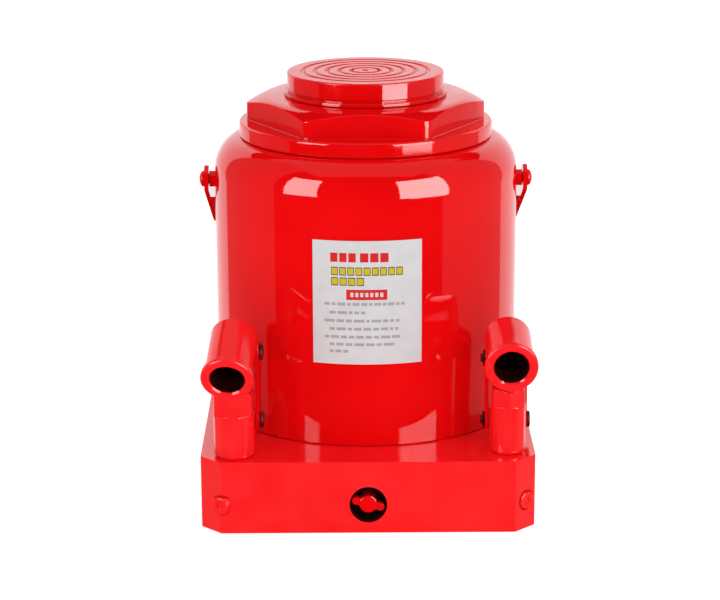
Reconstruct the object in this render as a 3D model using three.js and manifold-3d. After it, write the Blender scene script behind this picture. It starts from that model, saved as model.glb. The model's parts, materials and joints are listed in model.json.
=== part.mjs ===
// A 100 t class double-pump bottle jack, in millimetres, +Z up, front towards -Y.
// The origin is the middle of the base's underside, on the ram's axis.
import * as THREE from "three";
import { mergeVertices } from "three/addons/utils/BufferGeometryUtils.js";
import Module from "manifold-3d";

const wasm = await Module();
wasm.setup();

// ---- Driving dimensions ------------------------------------------------------------------

const gap = 0.3; // between faces that touch on the real jack
const bigFacets = 40; // round the tank, nut, ram and cylinder
const midFacets = 20; // round the pumps and sockets
const pinFacets = 12; // round pins, bolts, holes and balls

// Pressure cylinder and ram
const boreRadius = 70;
const cylinderWall = 20;
const cylinderRadius = boreRadius + cylinderWall;
const pistonLand = 8; // of the piston outside the ram
const ramRadius = boreRadius - pistonLand;
const pistonHeight = 36;
const pistonClearance = 8; // oil space under the piston with the ram down
const pistonChamfer = 3;
const grooveDepth = 6;
const sealGrooveSpan = [9, 17]; // above the piston's underside
const guideGrooveSpan = [23, 30];
const gasketThickness = 2;

// Cap nut
const neckRadius = cylinderRadius + 4; // hole in the tank's top
const collarRadius = neckRadius + 8;
const collarHeight = 12;
const collarRound = 2;
const hexAcrossFlats = 2 * (collarRadius - 17.75);
const hexHeight = 20;
const hexChamferInset = 3; // of the chamfer's circle inside the flats
const hexChamferAngle = 23; // degrees
const spigotDepth = 16; // of the nut inside the tank's neck
const nutRoof = 4; // of the collar over the cylinder's top
const capGasketWidth = 5;
const wiperWidth = 5;
const wiperSpan = [4.5, 12.5]; // below the nut's top

// Tank
const oilSpace = 32.3; // from the cylinder's outside to the tank's outside
const tankRadius = cylinderRadius + oilSpace;
const tankWall = 6;
const tankHeight = 225.4;
const tankFlat = 4.8; // level ring round the neck, inside the shoulder
const tankShoulder = tankRadius - neckRadius - tankFlat;
const tankGasketWidth = 6;

// Base casting
const baseMargin = 7.7; // outside the tank at the sides and the rear
const baseApron = 35.7; // in front of the tank
const baseWidth = 2 * (tankRadius + baseMargin);
const baseFront = tankRadius + baseApron; // from the ram's axis to the front face
const baseRear = tankRadius + baseMargin; // from the ram's axis to the rear face
const baseHeight = 58;
const baseChamfer = 16;
const valveHeight = 23; // of every oil drilling above the floor
const seatAboveDrillings = 15; // floor of the cylinder's seat over the drillings' axis

// Saddle
const saddleRadius = ramRadius + 1;
const saddleLip = 2.5; // outside the saddle's side
const saddleLipRadius = saddleRadius + saddleLip;
const saddleLipHeight = 3.2;
const saddleLipRound = 0.8;
const saddleWaist = 1.5; // depth of the slim groove over the lip
const saddleWaistHeight = 1.2;
const saddleEdge = 1.6;
const saddleHeight = 18.7;
const saddleSpigotRadius = 20;
const saddleSpigotLength = 22;
const saddleSpigotRoom = 1; // under the spigot's end
const saddleGrooves = 3;
const saddleGroovePitch = (saddleRadius + 1) / (saddleGrooves + 1);
const saddleGrooveDepth = 1.5;

// Carrying bail
const bailThickness = 3.6;
const bailWidth = 22;
const bailLength = tankRadius + 18.7; // pivot to the middle of the crossbar
const bailCorner = 14;
const bossRadius = 6.5;
const bossProud = 4.7; // of the boss outside the tank
const bossInside = 12; // of the boss inside the tank's outside
const bossFloor = 3; // solid end of the boss inside the tank
const bailBoltRadius = 4;
const bailBoltRoom = 1; // past the bolt's end in the boss
const bailBoltHeadRadius = 6.5;
const bailBoltHeadHeight = 4;
const bailBoltHeadRim = 1;

// Release valve
const recessRadius = 14.5;
const recessDepth = 16;
const valveHeadRadius = 7;
const valveHeadSunk = 1; // behind the base's front face
const valveStemRadius = 6;
const valveTipRadius = 4.2;
const valveSeatInset = 10; // of the stem's end outside the cylinder's bore
const valveStemRoom = 2;
const valveStemLength = baseFront - recessDepth - boreRadius - valveSeatInset;
const valveSealFrom = 14; // start of the seal's groove behind the recess
const valveSealWidth = 4;
const valveThread = 12; // full-size thread behind the seal
const valvePoint = 4; // tapered tip
const valveBarLength = 26;
const valveBarThickness = 6;
const valveBarDepth = 5;
const valveBarSunk = 2;
const valveBarAngle = -15; // degrees, turned about the valve's axis
const drillingRadius = 4.8;
const drillingPastRiser = 2;
const ballRadius = 4.3;
const riserInset = 14; // of every riser inside the cylinder's bore
const returnHoleY = -(cylinderRadius + tankRadius - tankWall) / 2; // between cylinder and tank

// Pumps: one entry each, all sizes in millimetres and degrees
const pumps = [
  {
    side: "left", x: 26.5 - baseWidth / 2, y: 19.4 - baseFront, turn: -5, bodyRadius: 16, plungerRadius: 9,
    bodyBelowEye: 2.5, hexHeight: 17, lowerPinHeight: 18.7, linkAhead: 1.28, pinRadius: 3.5, eyeRadius: 8,
    tubeOverPin: 5.9, tilt: 26, plungerPinHeight: 62.5, plugAngle: 29,
  },
  {
    side: "right", x: baseWidth / 2 - 21, y: 25 - baseFront, turn: 0, bodyRadius: 13.4, plungerRadius: 6,
    bodyBelowEye: 3.2, hexHeight: 13.3, lowerPinHeight: 15.7, linkAhead: 0.34, pinRadius: 3.5, eyeRadius: 6.5,
    tubeOverPin: 3.5, tilt: 11.6, plungerPinHeight: 62, plugAngle: -40,
  },
];
const spigotStep = 3; // of a pump's thread inside its body's radius
const wellDepth = 18; // of a pump's thread in the base
const sealWasher = 1.5;
const pumpFoot = 2; // chamfer round a pump's foot
const pumpHexGrowth = 1.09; // of the hexagon's corners over the body's radius
const plungerSealWidth = 3.6;
const plungerSealSpan = [5, 11]; // below the pump body's top
const plungerRoom = 5; // under a plunger at the bottom of its stroke
const plungerFlats = 14.5; // below the plunger's pin, to let the cheeks swing past
const lowerPinBehind = 31; // of the link's lower pivot behind the pump's axis
const upperPinAlong = 33; // of the link's upper pivot along the socket from the plunger pin
const upperPinBelow = 3;
const cheekInner = 7.2; // half the slot for the plunger's eye
const cheekThickness = 5.8;
const cheekOuter = cheekInner + cheekThickness;
const cheekMargin = 0.8; // round the plunger's eye
const cheekRoot = 4; // of the cheeks inside the tube's wall
const eyeRoom = 0.5;
const linkPlay = 1.5 * gap; // between a cheek and a link plate
const linkThickness = 3;
const linkRadius = 8;
const linkSlack = 1.9; // radial, at the upper pivot, where the closed loop is opened
const lugMargin = 1; // of the base's lugs round the link's radius
const pinHeadRadius = 6.5;
const pinHeadThickness = 2.4;
const pinHeadEdge = 0.8;
const pinGrooveDepth = 0.9;
const pinTail = 1.4;
const clipThickness = 1.2;
const tubeRadius = 18;
const tubeWall = 4.5;
const tubeBore = tubeRadius - tubeWall;
const tubeFront = 29; // of the mouth in front of the plunger pin
const tubeRear = 21; // of the domed end's start behind the plunger pin
const tubeDome = 5;
const mouthRingRadius = tubeRadius + 2.5;
const mouthRingLength = 6;
const mouthRingRound = 1.5;
const boreDepth = 43;
const plugRadius = 7;
const plugProud = 5.2;
const plugThread = 12;
const plugSocketRadius = 3;
const plugSocketDepth = 2.7;
const spotfaceRadius = 8.2;
const spotfaceDepth = 2.8; // below the base's corner, along the drilling
const outletBallBehind = 40; // of the pump's axis, along its drilling

// ---- Sizes worked out from them ----------------------------------------------------------

const tankBottom = baseHeight + gap;
const tankTop = tankBottom + tankHeight;
const collarBottom = tankTop + gap;
const hexBottom = collarBottom + collarHeight;
const nutTop = hexBottom + hexHeight;
const saddleBottom = nutTop + gap;
const saddleTop = saddleBottom + saddleHeight;
const seatFloor = valveHeight + seatAboveDrillings;
const cylinderBottom = seatFloor + gasketThickness + 2 * gap;
const cylinderTop = hexBottom - nutRoof - gap;
const pistonBottom = cylinderBottom + pistonClearance - 2 * gap;
const linkInnerFace = cheekOuter + linkPlay;
const linkOuterFace = linkInnerFace + linkThickness;

// Places on the tank, measured from its top
const bailPivotHeight = tankTop - 37.2;
const fillerHeight = tankTop - 68.7;
const fillerRadius = 7;
const fillerInside = 4; // of the plug past the tank's wall
const fillerHeadRadius = 10;
const fillerHeadHeight = 5;
const fillerHeadRound = 2;
const labelWidth = 84;
const labelHeight = 98.7;
const labelBottom = tankTop - 59.3 - labelHeight;
const labelThickness = 0.4;

// ---- Materials ---------------------------------------------------------------------------

const finish = (color, roughness, metalness) =>
  new THREE.MeshStandardMaterial({ color, roughness, metalness });
const redEnamel = finish(0xe01010, 0.22, 0.0);
const darkSteel = finish(0x4a4648, 0.45, 0.9);
const groundSteel = finish(0xb9bcc2, 0.18, 1.0);
const blackRubber = finish(0x191919, 0.75, 0.0);
const sealRed = finish(0x8a4a2a, 0.6, 0.1);
const labelPaper = finish(0xf2efe8, 0.5, 0.0);

// ---- Solid modelling helpers -------------------------------------------------------------

const rad = THREE.MathUtils.degToRad;

function signedVolume(position, triangles) {
  const a = new THREE.Vector3();
  const b = new THREE.Vector3();
  const c = new THREE.Vector3();
  let volume = 0;
  for (let i = 0; i < triangles.length; i += 3) {
    a.fromBufferAttribute(position, triangles[i]);
    b.fromBufferAttribute(position, triangles[i + 1]);
    c.fromBufferAttribute(position, triangles[i + 2]);
    volume += a.dot(b.cross(c)) / 6;
  }
  return volume;
}

// A three.js geometry as a closed manifold solid with its faces pointing out.
function solid(geometry) {
  const bare = geometry.clone();
  bare.deleteAttribute("normal");
  bare.deleteAttribute("uv");
  const merged = mergeVertices(bare, 1e-4);
  const triangles = [];
  for (let i = 0; i < merged.index.count; i += 3) {
    const [a, b, c] = [0, 1, 2].map((k) => merged.index.getX(i + k));
    if (a !== b && b !== c && c !== a) triangles.push(a, b, c);
  }
  if (signedVolume(merged.attributes.position, triangles) < 0) triangles.reverse();
  const vertProperties = new Float32Array(merged.attributes.position.array);
  const triVerts = new Uint32Array(triangles);
  return new wasm.Manifold(new wasm.Mesh({ numProp: 3, vertProperties, triVerts }));
}

function toGeometry(body) {
  const { vertProperties, triVerts } = body.getMesh();
  const geometry = new THREE.BufferGeometry();
  geometry.setAttribute("position", new THREE.BufferAttribute(vertProperties, 3));
  geometry.setIndex(new THREE.BufferAttribute(triVerts, 1));
  return geometry;
}

function addPart(parent, name, body, material) {
  const mesh = new THREE.Mesh(toGeometry(body), material);
  mesh.name = name;
  parent.add(mesh);
  return mesh;
}

function addGroup(parent, x, y, z) {
  const group = new THREE.Group();
  group.position.set(x, y, z);
  parent.add(group);
  return group;
}

// A profile of [radius, height] turned about the Z axis.
function turned(profile, segments = bigFacets) {
  const points = profile.map(([r, z]) => new THREE.Vector2(r, z));
  return new THREE.LatheGeometry(points, segments).rotateX(Math.PI / 2);
}

function ring(inner, outer, bottom, top, segments = bigFacets) {
  return turned([[inner, bottom], [outer, bottom], [outer, top], [inner, top], [inner, bottom]], segments);
}

function rod(radius, bottom, top, segments = midFacets) {
  return turned([[0, bottom], [radius, bottom], [radius, top], [0, top]], segments);
}

// A rod along +X, from x = start to x = end.
function crossRod(radius, start, end, segments = pinFacets) {
  return rod(radius, start, end, segments).rotateY(Math.PI / 2);
}

// A rod along +Y, from y = start to y = end.
function deepRod(radius, start, end, segments = midFacets) {
  return rod(radius, start, end, segments).rotateX(-Math.PI / 2);
}

// A quarter arc of a profile, from one angle to another, in degrees.
function arcPoints(radius, z, bend, from, to, steps) {
  return Array.from({ length: steps + 1 }, (_, i) => {
    const angle = rad(from + ((to - from) * i) / steps);
    return [radius + bend * Math.cos(angle), z + bend * Math.sin(angle)];
  });
}

// A low dome's profile from its rim to its middle.
function domePoints(radius, rim, height, steps) {
  return Array.from({ length: steps + 1 }, (_, i) => {
    const angle = (Math.PI / 2) * (i / steps);
    return [i === steps ? 0 : radius * Math.cos(angle), rim + height * Math.sin(angle)];
  });
}

function extruded(shape, depth, curveSegments = 8) {
  return new THREE.ExtrudeGeometry(shape, { depth, bevelEnabled: false, curveSegments });
}

// A shape drawn in (y, z) and given a thickness from x = start to x = end.
function crossPlate(shape, start, end, curveSegments = 8) {
  const turn = new THREE.Matrix4().makeBasis(
    new THREE.Vector3(0, 1, 0), new THREE.Vector3(0, 0, 1), new THREE.Vector3(1, 0, 0));
  return extruded(shape, end - start, curveSegments).applyMatrix4(turn).translate(start, 0, 0);
}

function polygon(points) {
  return new THREE.Shape(points.map(([x, y]) => new THREE.Vector2(x, y)));
}

// The outline round two circles of one radius, from (x1, y1) to (x2, y2).
function capsule(x1, y1, x2, y2, radius) {
  const angle = Math.atan2(y2 - y1, x2 - x1);
  const shape = new THREE.Shape();
  shape.absarc(x1, y1, radius, angle + Math.PI / 2, angle + 1.5 * Math.PI, false);
  shape.absarc(x2, y2, radius, angle - Math.PI / 2, angle + Math.PI / 2, false);
  return shape;
}

// ---- Places shared by the base and the pumps ---------------------------------------------

const spigotRadius = (pump) => pump.bodyRadius - spigotStep;

// A cutter along X, longer than any width across a pump.
const throughHole = (radius) => crossRod(radius, -2 * cheekOuter, 2 * cheekOuter);

// Turns a geometry made in a pump's own frame to its place on the base.
function placedAtPump(geometry, pump, z = baseHeight) {
  return geometry.rotateZ(rad(pump.turn)).translate(pump.x, pump.y, z);
}

// Turns a geometry that runs along -Y from the pump's axis to the pump's oil drilling.
function placedAtDrilling(geometry, pump) {
  return geometry.rotateZ(rad(-pump.plugAngle)).translate(pump.x, pump.y, valveHeight);
}

// How far the base's corner is from the pump's axis along its drilling.
function cornerDistance(pump) {
  const direction = [-Math.sin(rad(pump.plugAngle)), -Math.cos(rad(pump.plugAngle))];
  const toFront = (baseFront + pump.y) / -direction[1];
  const corner = baseWidth / 2 + baseFront - baseChamfer;
  const toChamfer = (corner - Math.abs(pump.x) + pump.y) / (Math.abs(direction[0]) - direction[1]);
  return Math.min(toFront, toChamfer);
}

// How far a pump's riser is from the pump's axis along its drilling.
function riserDistance(pump) {
  const direction = [Math.sin(rad(pump.plugAngle)), Math.cos(rad(pump.plugAngle))];
  const abreast = -(pump.x * direction[0] + pump.y * direction[1]);
  const aside = Math.hypot(pump.x + abreast * direction[0], pump.y + abreast * direction[1]);
  return abreast - Math.sqrt((boreRadius - riserInset) ** 2 - aside ** 2);
}

// ---- Base --------------------------------------------------------------------------------

function baseOutline() {
  const half = baseWidth / 2;
  const c = baseChamfer;
  return polygon([
    [-half + c, -baseFront], [half - c, -baseFront], [half, -baseFront + c], [half, baseRear - c],
    [half - c, baseRear], [-half + c, baseRear], [-half, baseRear - c], [-half, -baseFront + c],
  ]);
}

function makeBase() {
  let body = solid(extruded(baseOutline(), baseHeight));
  for (const pump of pumps) {
    const lug = new THREE.Shape();
    const lugRadius = linkRadius + lugMargin;
    lug.moveTo(lowerPinBehind - lugRadius, -2);
    lug.lineTo(lowerPinBehind + lugRadius, -2);
    lug.absarc(lowerPinBehind, pump.lowerPinHeight, lugRadius, 0, Math.PI, false);
    body = body.add(solid(placedAtPump(crossPlate(lug, -cheekOuter, cheekOuter), pump)));
  }
  const gasketFloor = baseHeight - gasketThickness - gap;
  const recessEnd = -baseFront + recessDepth;
  const stemHole = deepRod(valveStemRadius + gap, -baseFront, recessEnd + valveStemLength);
  const returnY = -boreRadius + riserInset;
  const cuts = [
    rod(cylinderRadius + gap, seatFloor, baseHeight + 1, bigFacets),
    ring(tankRadius - tankGasketWidth - 2 * gap, tankRadius + gap, gasketFloor, baseHeight + 1, bigFacets),
    deepRod(recessRadius, -baseFront - 1, recessEnd, midFacets).translate(0, 0, valveHeight),
    stemHole.translate(0, 0, valveHeight),
    deepRod(drillingRadius, recessEnd, returnY - drillingPastRiser, pinFacets).translate(0, 0, valveHeight),
    rod(drillingRadius, valveHeight, seatFloor + 1, pinFacets).translate(0, returnY, 0),
    rod(drillingRadius, valveHeight, baseHeight + 1, pinFacets).translate(0, returnHoleY, 0),
  ];
  const riserHole = rod(drillingRadius, 0, seatAboveDrillings + 1, pinFacets);
  for (const pump of pumps) {
    const { x, y, lowerPinHeight, pinRadius } = pump;
    const corner = cornerDistance(pump);
    const riser = riserDistance(pump);
    cuts.push(
      placedAtPump(throughHole(pinRadius + gap).translate(0, lowerPinBehind, lowerPinHeight), pump),
      rod(spigotRadius(pump) + gap, baseHeight - wellDepth, baseHeight + 1, midFacets).translate(x, y, 0),
      rod(drillingRadius, valveHeight, baseHeight, pinFacets).translate(x, y, 0),
      placedAtDrilling(deepRod(drillingRadius, -corner, riser + drillingPastRiser, pinFacets), pump),
      placedAtDrilling(deepRod(spotfaceRadius, -corner - 2 * plugRadius, -corner + spotfaceDepth), pump),
      placedAtDrilling(riserHole.clone().translate(0, riser, 0), pump),
    );
  }
  for (const cut of cuts) body = body.subtract(solid(cut));
  return body;
}

// ---- Cylinder, ram and saddle ------------------------------------------------------------

function makeCylinder() {
  return solid(ring(boreRadius, cylinderRadius, cylinderBottom, cylinderTop, bigFacets));
}

function makeRam() {
  const sealGroove = sealGrooveSpan.map((z) => pistonBottom + z);
  const guideGroove = guideGrooveSpan.map((z) => pistonBottom + z);
  const piston = boreRadius - gap;
  const grooveRadius = piston - grooveDepth;
  const pistonTop = pistonBottom + pistonHeight;
  const spigotHole = saddleSpigotRadius + gap;
  const spigotFloor = nutTop - saddleSpigotLength;
  const profile = [
    [0, pistonBottom], [piston - pistonChamfer, pistonBottom], [piston, pistonBottom + pistonChamfer],
    [piston, sealGroove[0]], [grooveRadius, sealGroove[0]], [grooveRadius, sealGroove[1]],
    [piston, sealGroove[1]], [piston, guideGroove[0]], [grooveRadius, guideGroove[0]],
    [grooveRadius, guideGroove[1]], [piston, guideGroove[1]], [piston, pistonTop], [ramRadius, pistonTop],
    [ramRadius, nutTop], [spigotHole, nutTop], [spigotHole, spigotFloor], [0, spigotFloor],
  ];
  const fitRing = ([bottom, top]) =>
    solid(ring(grooveRadius + gap, piston, bottom + gap, top - gap, bigFacets));
  return { ram: solid(turned(profile, bigFacets)), seal: fitRing(sealGroove), guide: fitRing(guideGroove) };
}

function makeSaddle() {
  const waist = saddleRadius - saddleWaist;
  const lipTop = saddleBottom + saddleLipHeight;
  const spigotEnd = saddleBottom - saddleSpigotLength + gap + saddleSpigotRoom;
  const profile = [
    [0, spigotEnd], [saddleSpigotRadius, spigotEnd], [saddleSpigotRadius, saddleBottom],
    [saddleLipRadius - saddleLipRound, saddleBottom], [saddleLipRadius, saddleBottom + saddleLipRound],
    [saddleLipRadius, lipTop - saddleLipRound], [waist, lipTop], [waist, lipTop + saddleWaistHeight],
    ...arcPoints(saddleRadius - saddleEdge, saddleTop - saddleEdge, saddleEdge, 0, 90, 2),
  ];
  for (let groove = saddleGrooves; groove >= 1; groove -= 1) {
    const middle = groove * saddleGroovePitch;
    profile.push(
      [middle + saddleGrooveDepth, saddleTop], [middle, saddleTop - saddleGrooveDepth],
      [middle - saddleGrooveDepth, saddleTop],
    );
  }
  profile.push([0, saddleTop]);
  return solid(turned(profile, bigFacets));
}

// ---- Tank and cap nut --------------------------------------------------------------------

function makeTank() {
  const outerBend = arcPoints(tankRadius - tankShoulder, tankTop - tankShoulder, tankShoulder, 0, 90, 8);
  const innerRadius = tankRadius - tankWall;
  const innerBend = arcPoints(
    tankRadius - tankShoulder, tankTop - tankShoulder, tankShoulder - tankWall, 90, 0, 6);
  const profile = [
    [innerRadius, tankBottom], [tankRadius, tankBottom], ...outerBend,
    [neckRadius, tankTop], [neckRadius, tankTop - tankWall], ...innerBend, [innerRadius, tankBottom],
  ];
  let body = solid(turned(profile, bigFacets));
  const insideWall = tankRadius - 2 * tankWall;
  const outsideWall = tankRadius + 1;
  const holes = [
    crossRod(bossRadius + gap, -outsideWall, -insideWall).translate(0, 0, bailPivotHeight),
    crossRod(bossRadius + gap, insideWall, outsideWall).translate(0, 0, bailPivotHeight),
    deepRod(fillerRadius, insideWall, outsideWall).translate(0, 0, fillerHeight),
  ];
  for (const hole of holes) body = body.subtract(solid(hole));
  return body;
}

function makeCapNut() {
  const hexCorner = hexAcrossFlats / Math.sqrt(3);
  const chamferRadius = hexAcrossFlats / 2 - hexChamferInset;
  const hexShape = polygon(Array.from({ length: 6 }, (_, i) => [
    hexCorner * Math.cos(rad(60 * i)), hexCorner * Math.sin(rad(60 * i)),
  ]));
  const coneRadius = hexCorner + hexChamferInset;
  const coneDrop = (coneRadius - chamferRadius) * Math.tan(rad(hexChamferAngle));
  const cone = turned([
    [0, collarBottom], [coneRadius, collarBottom], [coneRadius, nutTop - coneDrop], [chamferRadius, nutTop],
    [0, nutTop],
  ], bigFacets);
  const prism = extruded(hexShape, hexHeight + 1).translate(0, 0, hexBottom - 1);
  const hexagon = solid(prism).intersect(solid(cone));
  const collar = solid(turned([
    [0, collarBottom], [collarRadius - 1, collarBottom], [collarRadius, collarBottom + 1],
    ...arcPoints(collarRadius - collarRound, hexBottom - collarRound, collarRound, 0, 90, 4), [0, hexBottom],
  ], bigFacets));
  const spigotEnd = collarBottom - spigotDepth;
  const spigot = solid(rod(neckRadius - gap, spigotEnd, collarBottom + 1, bigFacets));
  const gasketRoof = collarBottom + gasketThickness;
  const cuts = [
    rod(cylinderRadius + gap, spigotEnd - 1, cylinderTop + gap, bigFacets),
    rod(ramRadius + gap, collarBottom, nutTop + 1, bigFacets),
    ring(ramRadius, ramRadius + wiperWidth, nutTop - wiperSpan[1], nutTop - wiperSpan[0], bigFacets),
    ring(neckRadius - gap, neckRadius + capGasketWidth, collarBottom - 1, gasketRoof, bigFacets),
  ];
  let body = hexagon.add(collar).add(spigot);
  for (const cut of cuts) body = body.subtract(solid(cut));
  return body;
}

function makeFillerPlug() {
  const start = tankRadius - tankWall - fillerInside;
  const end = tankRadius + fillerHeadHeight;
  return solid(turned([
    [0, start], [fillerRadius - gap, start], [fillerRadius - gap, tankRadius + gap],
    [fillerHeadRadius, tankRadius + gap],
    ...arcPoints(fillerHeadRadius - fillerHeadRound, end - fillerHeadRound, fillerHeadRound, 0, 90, 3),
    [0, end],
  ], pinFacets).rotateX(-Math.PI / 2).translate(0, 0, fillerHeight));
}

function makeLabel() {
  const inner = tankRadius + gap;
  const outer = inner + labelThickness;
  const halfAngle = Math.asin(labelWidth / 2 / outer);
  const shape = new THREE.Shape();
  shape.absarc(0, 0, outer, -Math.PI / 2 - halfAngle, -Math.PI / 2 + halfAngle, false);
  shape.absarc(0, 0, inner, -Math.PI / 2 + halfAngle, -Math.PI / 2 - halfAngle, true);
  return solid(extruded(shape, labelHeight, pinFacets).translate(0, 0, labelBottom));
}

// ---- Carrying bail -----------------------------------------------------------------------

const strapInner = tankRadius + bossProud + gap;
const strapOuter = strapInner + bailThickness;

// The angle below the horizontal at which the crossbar rests behind the tank.
function bailRestAngle() {
  const reach = bailLength - bailThickness / 2;
  const corner = Math.hypot(reach, bailWidth / 2);
  return Math.acos((tankRadius + 2 * gap) / corner) - Math.atan2(bailWidth / 2, reach);
}

// Drawn flat, with the legs along +Y and the pivot on the X axis.
function makeBail() {
  const innerCorner = bailCorner - bailThickness;
  const far = bailLength + bailThickness / 2;
  const near = far - bailThickness;
  const end = -bailWidth / 2;
  const shape = new THREE.Shape();
  shape.moveTo(strapOuter, end);
  shape.absarc(strapOuter - bailCorner, far - bailCorner, bailCorner, 0, Math.PI / 2, false);
  shape.absarc(-strapOuter + bailCorner, far - bailCorner, bailCorner, Math.PI / 2, Math.PI, false);
  shape.lineTo(-strapOuter, end);
  shape.lineTo(-strapInner, end);
  shape.absarc(-strapInner + innerCorner, near - innerCorner, innerCorner, Math.PI, Math.PI / 2, true);
  shape.absarc(strapInner - innerCorner, near - innerCorner, innerCorner, Math.PI / 2, 0, true);
  shape.lineTo(strapInner, end);
  const strap = solid(extruded(shape, bailWidth, 6).translate(0, 0, -bailWidth / 2));
  const side = capsule(0, 0, bailLength + bailWidth, 0, bailWidth / 2);
  const sides = solid(crossPlate(side, -strapOuter - 1, strapOuter + 1));
  const hole = solid(crossRod(bailBoltRadius + gap, -strapOuter - 1, strapOuter + 1));
  return strap.intersect(sides).subtract(hole);
}

function makeBoss() {
  const inner = tankRadius - bossInside;
  const outer = tankRadius + bossProud;
  const blind = solid(crossRod(bailBoltRadius + gap, inner + bossFloor, outer + 1));
  return solid(crossRod(bossRadius, inner, outer)).subtract(blind);
}

function makeBailBolt() {
  const start = tankRadius - bossInside + bossFloor + bailBoltRoom;
  const head = strapOuter + gap;
  const rim = head + bailBoltHeadRim;
  const dome = domePoints(bailBoltHeadRadius, rim, bailBoltHeadHeight - bailBoltHeadRim, 5);
  return solid(turned([
    [0, start], [bailBoltRadius, start], [bailBoltRadius, head], [bailBoltHeadRadius, head], ...dome,
  ], pinFacets).rotateY(Math.PI / 2));
}

// ---- Release valve -----------------------------------------------------------------------

// Along +Y from the base's front face, on the valve's own axis.
function makeReleaseValve() {
  const stemEnd = recessDepth + valveStemLength - valveStemRoom;
  const headEnd = recessDepth - gap;
  const sealAt = recessDepth + valveSealFrom;
  const sealEnd = sealAt + valveSealWidth;
  const threadEnd = sealEnd + valveThread;
  const profile = [
    [0, valveHeadSunk], [valveHeadRadius - 1, valveHeadSunk], [valveHeadRadius, valveHeadSunk + 1],
    [valveHeadRadius, headEnd], [valveStemRadius, headEnd], [valveStemRadius, sealAt],
    [valveTipRadius, sealAt], [valveTipRadius, sealEnd], [valveStemRadius, sealEnd],
    [valveStemRadius, threadEnd],
    [valveTipRadius, threadEnd + 2], [valveTipRadius, stemEnd - valvePoint], [0, stemEnd],
  ];
  const spindle = solid(turned(profile, midFacets).rotateX(-Math.PI / 2));
  const bar = new THREE.BoxGeometry(valveBarLength, valveBarDepth, valveBarThickness)
    .translate(0, valveBarSunk + valveBarDepth / 2, 0);
  const seal = ring(valveTipRadius + gap, valveStemRadius, sealAt + gap, sealEnd - gap, pinFacets);
  return { valve: spindle.add(solid(bar)), seal: solid(seal.rotateX(-Math.PI / 2)), stemEnd };
}

// ---- Pumps -------------------------------------------------------------------------------

const hexTop = (pump) => pump.plungerPinHeight - pump.eyeRadius - pump.bodyBelowEye;

// In the pump's own frame: its axis is Z and the base's top is z = 0.
function makePumpBody(pump) {
  const { bodyRadius, plungerRadius } = pump;
  const spigot = spigotRadius(pump);
  const bottom = -wellDepth + sealWasher + 2 * gap;
  const top = hexTop(pump);
  const hexStart = top - pump.hexHeight;
  const outline = [
    [0, bottom], [spigot, bottom], [spigot, gap], [bodyRadius - pumpFoot, gap], [bodyRadius, gap + pumpFoot],
    [bodyRadius, hexStart], [0, hexStart],
  ];
  const hexCorner = bodyRadius * pumpHexGrowth;
  const hexShape = polygon(Array.from({ length: 6 }, (_, i) => [
    hexCorner * Math.sin(rad(60 * i)), hexCorner * Math.cos(rad(60 * i)),
  ]));
  const hexagon = extruded(hexShape, pump.hexHeight + 1).translate(0, 0, hexStart - 1);
  const boreRim = plungerRadius + gap;
  const grooveRim = plungerRadius + plungerSealWidth;
  const [sealTop, sealBottom] = plungerSealSpan.map((depth) => top - depth);
  const bore = [
    [0, bottom - 1], [boreRim, bottom - 1], [boreRim, sealBottom], [grooveRim, sealBottom],
    [grooveRim, sealTop], [boreRim, sealTop], [boreRim, top + 1], [0, top + 1],
  ];
  const body = solid(turned(outline, midFacets)).add(solid(hexagon)).subtract(solid(turned(bore, midFacets)));
  const seal = ring(boreRim, grooveRim - gap, sealBottom + gap, sealTop - gap, midFacets);
  const washerBottom = -wellDepth + gap;
  const washer = ring(drillingRadius + gap, spigot, washerBottom, washerBottom + sealWasher, midFacets);
  return { body, seal: solid(seal), washer: solid(washer) };
}

function makePlunger(pump) {
  const { plungerRadius, eyeRadius, pinRadius, plungerPinHeight } = pump;
  const neckTop = plungerPinHeight - eyeRadius - 1;
  const bottom = -wellDepth + sealWasher + plungerRoom;
  const shaft = solid(turned([
    [0, bottom], [plungerRadius - 1, bottom], [plungerRadius, bottom + 1], [plungerRadius, neckTop],
    [0, neckTop],
  ], midFacets));
  const tongue = cheekInner - gap;
  const eyeShape = new THREE.Shape();
  eyeShape.moveTo(-eyeRadius, neckTop - 1);
  eyeShape.lineTo(eyeRadius, neckTop - 1);
  eyeShape.absarc(0, plungerPinHeight, eyeRadius, 0, Math.PI, false);
  const eye = solid(crossPlate(eyeShape, -tongue, tongue));
  const hole = throughHole(pinRadius + gap).translate(0, 0, plungerPinHeight);
  let body = shaft.add(eye).subtract(solid(hole));
  const flatWidth = 2 * plungerRadius + 2;
  for (const side of [-1, 1]) {
    const flat = new THREE.BoxGeometry(plungerRadius, flatWidth, plungerFlats)
      .translate(side * (tongue + plungerRadius / 2), 0, plungerPinHeight - plungerFlats / 2);
    body = body.subtract(solid(flat));
  }
  return body;
}

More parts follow.
